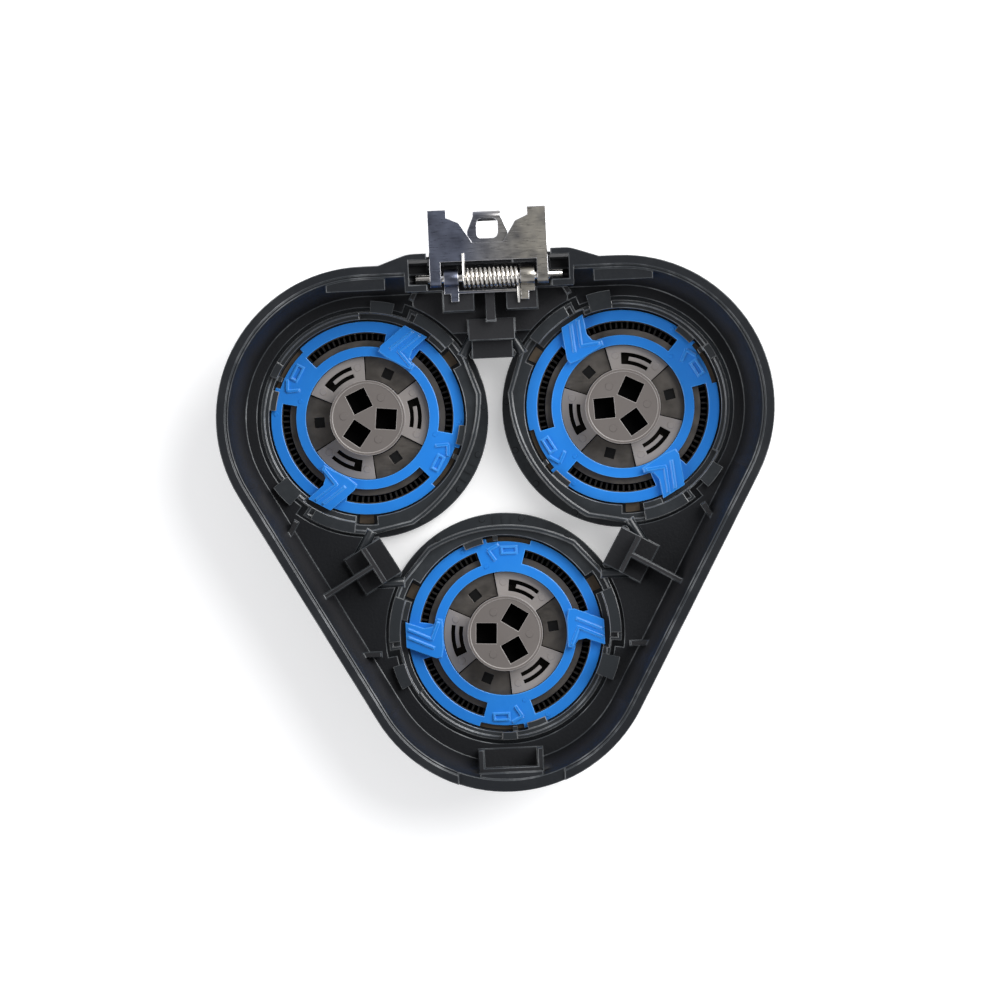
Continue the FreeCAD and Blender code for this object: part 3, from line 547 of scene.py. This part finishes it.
def cutter_frame(unit):
    return unit_frames[unit] @ Matrix.Rotation(math.radians(cutter_phase[unit]), 4, "Z")


for unit in units:
    print(unit, "middle mm", [round(c / MM, 2) for c in unit_frames[unit].translation])

# %% [markdown]
# The small pieces share a few helpers. One gives a place on a circle of the unit, one turns a
# finished mesh into an object that rides on a body of the head, and three draw a round peg, a bar
# and a flat ring.

# %% Helpers for the small pieces
peg_sides = 24
peg_taper = 0.86
ring_steps = 96


def on_circle(radius, degrees, height):
    """Place at a radius and angle of a unit, as a matrix whose +X points outwards."""
    angle = math.radians(degrees)
    place = Vector((radius * math.cos(angle), radius * math.sin(angle), height)) * MM
    return Matrix.Translation(place) @ Matrix.Rotation(angle, 4, "Z")


def finish_piece(name, work, matrix, material, body):
    """Carry a mesh to its place and make it an object that moves with a body of the head."""
    work.transform(matrix)
    bmesh.ops.recalc_face_normals(work, faces=work.faces)
    data = bpy.data.meshes.new(name)
    work.to_mesh(data)
    work.free()
    data.materials.append(material)
    item = bpy.data.objects.new(name, data)
    bpy.context.scene.collection.objects.link(item)
    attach(item, body)
    return item


def add_peg(work, radius, height, place):
    """Low round mark with a slightly smaller top, standing on the given place."""
    lift = Matrix.Translation((0, 0, height / 2 * MM))
    bmesh.ops.create_cone(work, cap_ends=True, segments=peg_sides, radius1=radius * MM,
                          radius2=radius * peg_taper * MM, depth=height * MM,
                          matrix=place @ lift)


def add_bar(work, length, width, height, place):
    """Bar that stands on the given place, with its length along +X."""
    lift = Matrix.Translation((0, 0, height / 2 * MM))
    scale = Matrix.Diagonal((length * MM, width * MM, height * MM, 1))
    bmesh.ops.create_cube(work, size=1, matrix=place @ lift @ scale)


def add_ring(work, inner, outer, low, high):
    """Flat ring with a rectangular section, spun round the unit's axis."""
    corners = [(inner, low), (outer, low), (outer, high), (inner, high)]
    points = [work.verts.new((radius * MM, 0, height * MM)) for radius, height in corners]
    edges = [work.edges.new((points[i - 1], points[i])) for i in range(4)]
    bmesh.ops.spin(work, geom=points + edges, axis=(0, 0, 1), cent=(0, 0, 0),
                   angle=2 * math.pi, steps=ring_steps, use_merge=True)


# %% [markdown]
# The wall of each guard cap is a comb of ninety thin fins with hair slots between them. One fin is
# a thin bar with its top edges bevelled, and a spin that copies it makes the whole comb. A black
# ring under the fins and a thin black wall round them close the view through the slots; they are
# painted shade, dark sheets where the real cap shows only shade.

# %% Cap fins
fin_count = 90
fin_middle_r = 9.12
fin_length = 0.72
fin_width = 0.26
fin_low_z = 0.5
fin_height = 1.55
fin_edge = 0.06
backing_inner_r = 6.0
backing_outer_r = 9.49
backing_wall = 0.07
backing_low_z = 0.355
backing_floor_z = 0.4
backing_high_z = 2.1
fin_steel = steel("fin_steel", (0.05, 0.047, 0.043), (0.02, 0.019, 0.018), 0.5, 0.4, 0.3)


def cap_fins(unit):
    work = bmesh.new()
    add_bar(work, fin_length, fin_width, fin_height, on_circle(fin_middle_r, 0, fin_low_z))
    middle_z = (fin_low_z + fin_height / 2) * MM
    top_edges = [edge for edge in work.edges if min(v.co.z for v in edge.verts) > middle_z]
    bmesh.ops.bevel(work, geom=top_edges, offset=fin_edge * MM, segments=1, affect="EDGES",
                    profile=0.5, material=-1)
    bmesh.ops.spin(work, geom=work.verts[:] + work.edges[:] + work.faces[:], axis=(0, 0, 1),
                   cent=(0, 0, 0), angle=2 * math.pi * (fin_count - 1) / fin_count,
                   steps=fin_count - 1, use_duplicate=True)
    return finish_piece("cap_fins_" + unit, work, unit_frames[unit], fin_steel, "unit_" + unit)


# Black ring and wall of painted shade under and round the fins.
def painted_shade_backing(unit):
    work = bmesh.new()
    add_ring(work, backing_inner_r, backing_outer_r, backing_low_z, backing_floor_z)
    add_ring(work, backing_outer_r - backing_wall, backing_outer_r, backing_floor_z,
             backing_high_z)
    return finish_piece("painted_shade_backing_" + unit, work, unit_frames[unit], painted_shade_black,
                        "unit_" + unit)


for unit in units:
    fins = cap_fins(unit)
    backing = painted_shade_backing(unit)
    print(fins.name, len(fins.data.polygons), backing.name, len(backing.data.polygons))

# %% [markdown]
# Moulded parts keep the marks of the tool that made them: round ejector marks on the hub, its pads,
# the blue ring and the frame's flange. On the flange there are short radial bars as well. Their
# heights follow the parts that they stand on. A peg has a radius and a height, a bar a length, a
# width and a height, and each place is a radius and an angle in degrees.

# %% Marks of the mould
flange_rise = 1.0
tab_rise = 1.25
pad_rise = 1.3
hub_rim_rise = 0.12
coupling_low, coupling_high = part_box("coupling_front")
flange_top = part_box("carrier_front")[0].z / MM + flange_rise
ring_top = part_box("retaining_ring_front")[1].z / MM - tab_rise
pad_top = coupling_low.z / MM + pad_rise
hub_top = coupling_high.z / MM - hub_rim_rise
flange_peg = (0.36, 0.14)
flange_bar = (0.9, 0.14, 0.14)
ring_peg = (0.26, 0.07)
hub_peg = (0.45, 0.06)
pad_peg = (0.42, 0.05)
flange_peg_places = [(13.0, 55.0), (13.0, 79.5), (13.0, 99.0), (13.0, 123.0)]
flange_bar_places = [(12.75, 84.5), (12.75, 89.0), (12.75, 93.5)]
ring_peg_places = [(10.25, 115.0), (10.25, 295.0), (7.75, 103.6), (7.75, 283.6)]
hub_peg_place = (2.7, 60.0)
pad_peg_places = [(5.75, -15.0), (5.75, 33.0)]
thirds = (0.0, 120.0, 240.0)
print("tops mm", [round(top, 2) for top in (flange_top, ring_top, pad_top, hub_top)])


def flange_marks(unit):
    work = bmesh.new()
    for radius, angle in flange_peg_places:
        add_peg(work, *flange_peg, on_circle(radius, angle, flange_top))
    for radius, angle in flange_bar_places:
        add_bar(work, *flange_bar, on_circle(radius, angle, flange_top))
    return finish_piece("flange_marks_" + unit, work, unit_frames[unit], frame_black,
                        "unit_" + unit)


def ring_marks(unit):
    work = bmesh.new()
    for radius, angle in ring_peg_places:
        add_peg(work, *ring_peg, on_circle(radius, angle, ring_top))
    return finish_piece("ring_marks_" + unit, work, unit_frames[unit], ring_blue, "ring_" + unit)


def hub_marks(unit):
    work = bmesh.new()
    for third in thirds:
        radius, angle = hub_peg_place
        add_peg(work, *hub_peg, on_circle(radius, third + angle, hub_top))
        for radius, angle in pad_peg_places:
            add_peg(work, *pad_peg, on_circle(radius, third + angle, pad_top))
    return finish_piece("hub_marks_" + unit, work, cutter_frame(unit), hub_grey, "cutter_" + unit)


for unit in units:
    pieces = [flange_marks(unit), ring_marks(unit), hub_marks(unit)]
    print([(piece.name, len(piece.data.polygons)) for piece in pieces])

# %% [markdown]
# The drive sockets are dark with painted shade: a thin black plate on each socket's floor. The
# three square holes of the blade ring are dark too: a small black plate of painted shade fills each
# from below.

# %% Painted shade in the sockets
socket_r = 2.1
socket_rise = 1.25
socket_fill = (2.26, 2.26, 0.05)
hole_r = 5.4
hole_angle = 69.0
hole_rise = 0.45
hole_fill = (1.5, 1.5, 0.12)
socket_floor = coupling_low.z / MM + socket_rise
hole_floor = coupling_low.z / MM + hole_rise


# Plates of painted shade on the socket floors and in the blade ring's square holes.
def socket_painted_shade(unit):
    work = bmesh.new()
    for third in thirds:
        add_bar(work, *socket_fill, on_circle(socket_r, third, socket_floor))
        add_bar(work, *hole_fill, on_circle(hole_r, third + hole_angle, hole_floor))
    return finish_piece("socket_painted_shade_" + unit, work, cutter_frame(unit), painted_shade_black,
                        "cutter_" + unit)


for unit in units:
    shade_plates = socket_painted_shade(unit)
    print(shade_plates.name, "faces", len(shade_plates.data.polygons))

# %% [markdown]
# One leg of the hinge spring presses on the plate, so it has to swing with it, while the coil stays
# on the pin. The spring is one solid in the frame. A merged copy of it is parted where the leg
# leaves the coil, and each part rides on its own body.

# %% Spring in two parts
spring_node = nodes["torsion_spring"]
pin_low, pin_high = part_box("hinge_pin")
pin_y = (pin_low.y + pin_high.y) / 2
leg_clear = 2.2 * MM
strand_half = 0.3 * MM


def spring_part(name, body, keep_leg):
    work = bmesh.new()
    work.from_mesh(spring_node.data)
    bmesh.ops.remove_doubles(work, verts=work.verts, dist=0.001 * MM)
    bmesh.ops.bisect_plane(work, geom=work.verts[:] + work.edges[:] + work.faces[:], dist=1e-7,
                           plane_co=(0, pin_y, 0), plane_no=(0, 1, 0))
    tips = [v.co for v in work.verts if v.co.y > pin_y + leg_clear]
    leg_x = sum(tip.x for tip in tips) / len(tips)
    leg_z = sum(tip.z for tip in tips) / len(tips)
    drop = []
    for face in work.faces:
        middle = face.calc_center_median()
        on_leg = (middle.y > pin_y and abs(middle.x - leg_x) < strand_half
                  and abs(middle.z - leg_z) < strand_half)
        if on_leg != keep_leg:
            drop.append(face)
    bmesh.ops.delete(work, geom=drop, context="FACES")
    bmesh.ops.holes_fill(work, edges=[edge for edge in work.edges if edge.is_boundary], sides=0)
    part = finish_piece(name, work, Matrix.Identity(4), spring_steel, body)
    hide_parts("torsion_spring")
    return part


for name, body, keep_leg in (("spring_coil", "shell", False), ("spring_plate_leg", "hinge", True)):
    part = spring_part(name, body, keep_leg)
    reach = [v.co.y / MM for v in part.data.vertices]
    print(part.name, "faces", len(part.data.polygons), "y mm", round(min(reach), 2),
          round(max(reach), 2))

# %% [markdown]
# Behind each end of the hinge pin the frame's recess runs out through the hump's sloping back. A
# thin wall that leans with the back closes it there, as the real moulding does.

# %% Pocket walls of the hinge
pin_end_x = pin_high.x / MM
pocket_inner_x = pin_end_x - 1.4
pocket_outer_x = pin_end_x + 0.75
pocket_back = 2.27
pocket_wall_thick = 0.28
pocket_wall_low_z = pin_low.z / MM - 1.6
pocket_wall_height = 1.72
pocket_wall_edge = 0.05
pocket_lean = math.radians(19.4)


def pocket_wall(side, sign):
    work = bmesh.new()
    foot = Vector((sign * (pocket_inner_x + pocket_outer_x) / 2, 0, pocket_wall_low_z)) * MM
    foot.y = pin_y + pocket_back * MM
    lean = Matrix.Rotation(pocket_lean, 4, "X")
    add_bar(work, pocket_outer_x - pocket_inner_x, pocket_wall_thick, pocket_wall_height,
            Matrix.Translation(foot) @ lean)
    bmesh.ops.bevel(work, geom=work.edges[:], offset=pocket_wall_edge * MM, segments=2,
                    affect="EDGES", profile=0.5, material=-1)
    return finish_piece("pocket_wall_" + side, work, Matrix.Identity(4), shell_black, "shell")


for side, sign in (("left", -1), ("right", 1)):
    wall = pocket_wall(side, sign)
    print(wall.name, "faces", len(wall.data.polygons))

# %% [markdown]
# The table is a plain white sheet. Light Path tells its finish which rays come straight from the
# camera, and only those see a faint glow. So the sheet reads as white and keeps the head's
# shadow, and the head gets no more light from it.

# %% Table finish
table_finish, tree, shader = new_material("table_white", (0.86, 0.86, 0.86), 0.6)
table_glow = 0.35
rays = add_node(tree, "ShaderNodeLightPath")
glow = add_node(tree, "ShaderNodeMath", operation="MULTIPLY")
glow.inputs[1].default_value = table_glow
tree.links.new(rays.outputs["Is Camera Ray"], glow.inputs[0])
tree.links.new(glow.outputs[0], shader.inputs["Emission Strength"])
shader.inputs["Emission Color"].default_value = (1, 1, 1, 1)
table_data.materials.append(table_finish)
print(table_finish.name, "glow", table_glow)
